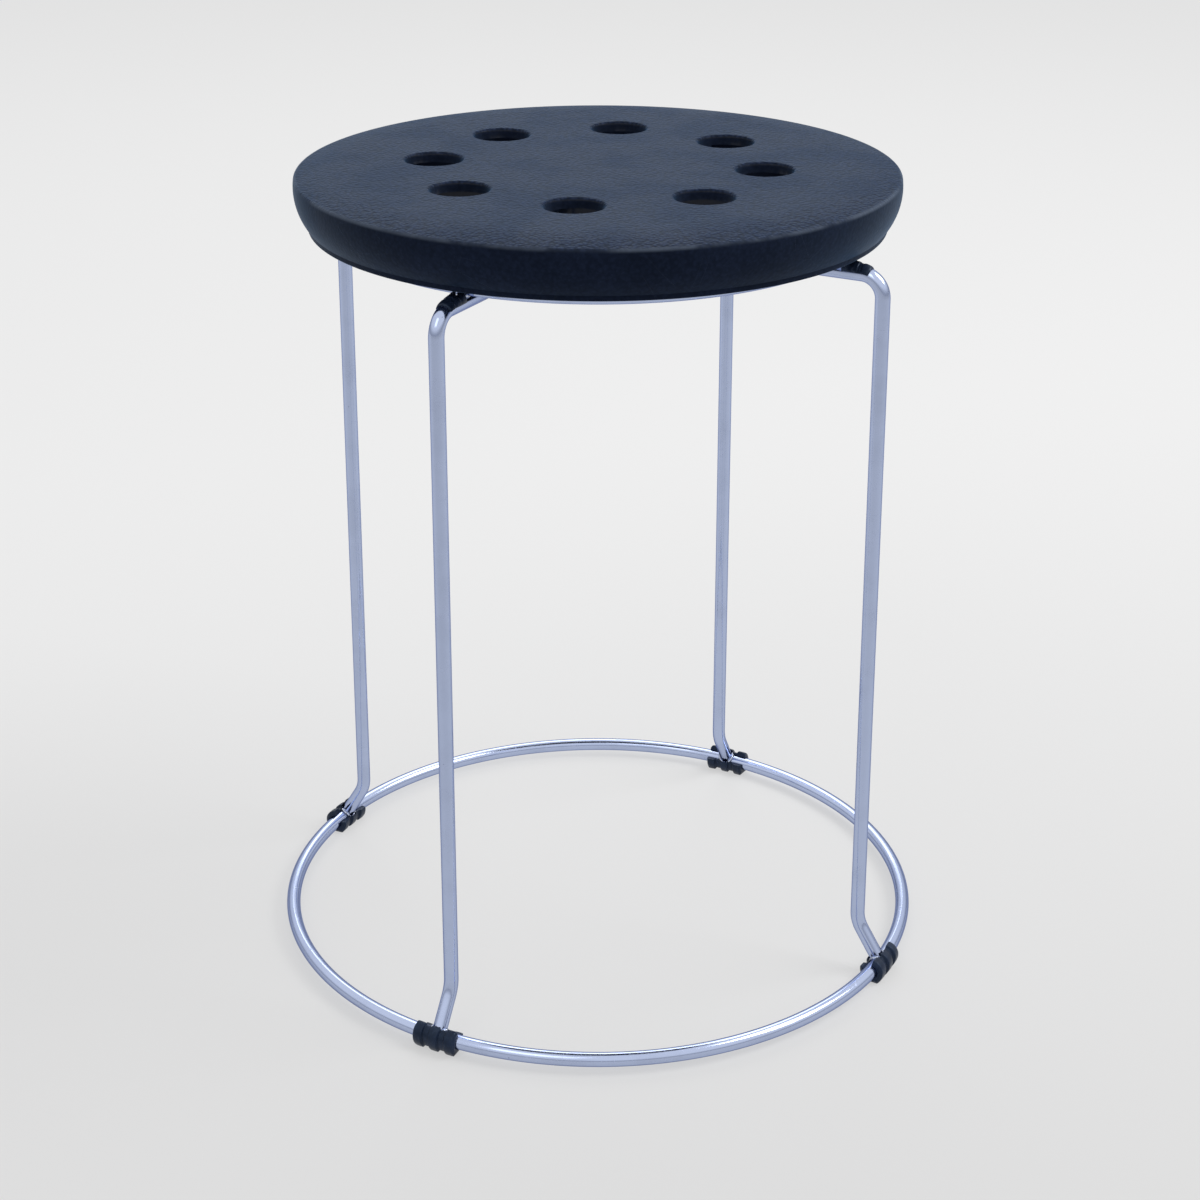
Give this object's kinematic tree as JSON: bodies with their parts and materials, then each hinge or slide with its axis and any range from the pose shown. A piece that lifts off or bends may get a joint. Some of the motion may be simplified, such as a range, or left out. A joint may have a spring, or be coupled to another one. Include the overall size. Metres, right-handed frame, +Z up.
{
  "type": "stool",
  "caption": "Low round stacking stool: moulded seat with a ring of holes, on bent chrome rod legs that a base ring joins, with clip-on feet.",
  "frame": {"origin": "on the floor under the middle of the seat", "axes": "+Z up along the stool's axis, -Y to the front, between the two front legs; the legs stand on the diagonals"},
  "size_m": [0.3759, 0.376, 0.45],
  "materials": {
    "seat_plastic": "moulded plastic with a fine pebbled grain and a faint sheen",
    "chrome_rod": "bright chrome plate on bent and welded steel rod",
    "clip_plastic": "satin moulded clip material, soft enough to spare the floor",
    "fixing_steel": "zinc plated screws and washers"
  },
  "bodies": {
    "root": {"seat_shell": "seat_plastic", "upper_ring": "chrome_rod", "base_ring": "chrome_rod", "leg_back_right": "chrome_rod", "leg_back_left": "chrome_rod", "leg_front_left": "chrome_rod", "leg_front_right": "chrome_rod", "foot_clip_back_right": "clip_plastic", "foot_clip_back_left": "clip_plastic", "foot_clip_front_left": "clip_plastic", "foot_clip_front_right": "clip_plastic", "shoulder_clip_back_right": "clip_plastic", "shoulder_clip_back_left": "clip_plastic", "shoulder_clip_front_left": "clip_plastic", "shoulder_clip_front_right": "clip_plastic", "seat_lug_right": "chrome_rod", "seat_lug_back": "chrome_rod", "seat_lug_left": "chrome_rod", "seat_lug_front": "chrome_rod", "seat_screws": "fixing_steel", "seat_washers": "fixing_steel", "foot_weld_back_right": "chrome_rod", "foot_weld_back_left": "chrome_rod", "foot_weld_front_left": "chrome_rod", "foot_weld_front_right": "chrome_rod", "upper_weld_back_right": "chrome_rod", "upper_weld_back_left": "chrome_rod", "upper_weld_front_left": "chrome_rod", "upper_weld_front_right": "chrome_rod", "lug_weld_right": "chrome_rod", "lug_weld_back": "chrome_rod", "lug_weld_left": "chrome_rod", "lug_weld_front": "chrome_rod"}
  },
  "joints": []
}
